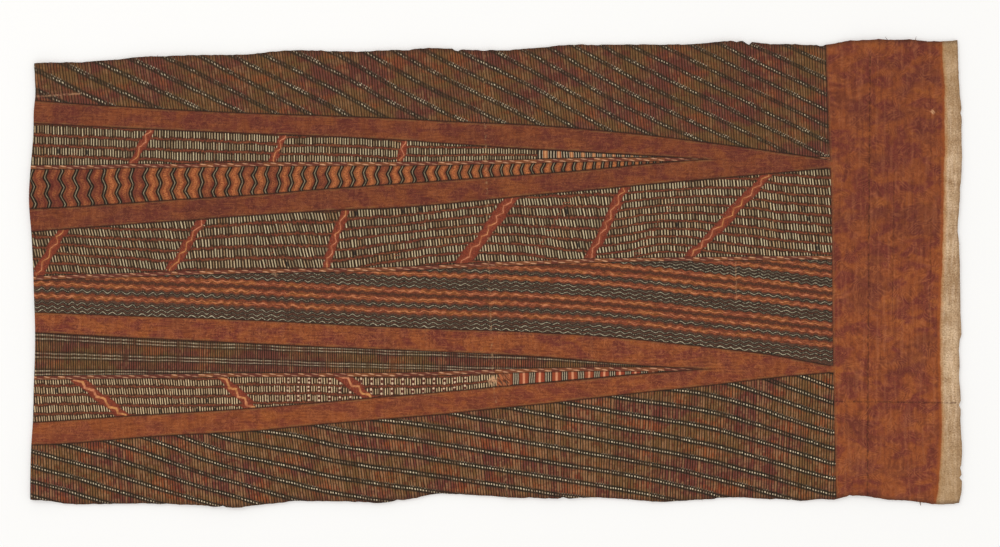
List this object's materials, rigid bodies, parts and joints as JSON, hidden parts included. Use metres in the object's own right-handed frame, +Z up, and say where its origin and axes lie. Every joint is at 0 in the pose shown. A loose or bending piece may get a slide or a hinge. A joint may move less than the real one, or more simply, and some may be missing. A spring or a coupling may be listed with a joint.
{
  "type": "folded painted bark cloth",
  "caption": "Length of beaten and painted bark cloth, folded back under itself and lying flat, with crossing rust bands, finely lined fields and an undyed end.",
  "frame": {"origin": "on the surface, under the middle of the folded cloth", "axes": "+X from the fold to the undyed end, along the cloth; +Y towards the far long edge; +Z up"},
  "size_m": [1.0086, 0.5056, 0.0069],
  "materials": {
    "painted_bark": "matt beaten bark fibre, painted"
  },
  "bodies": {
    "root": {"bark_cloth": "painted_bark"}
  },
  "joints": []
}
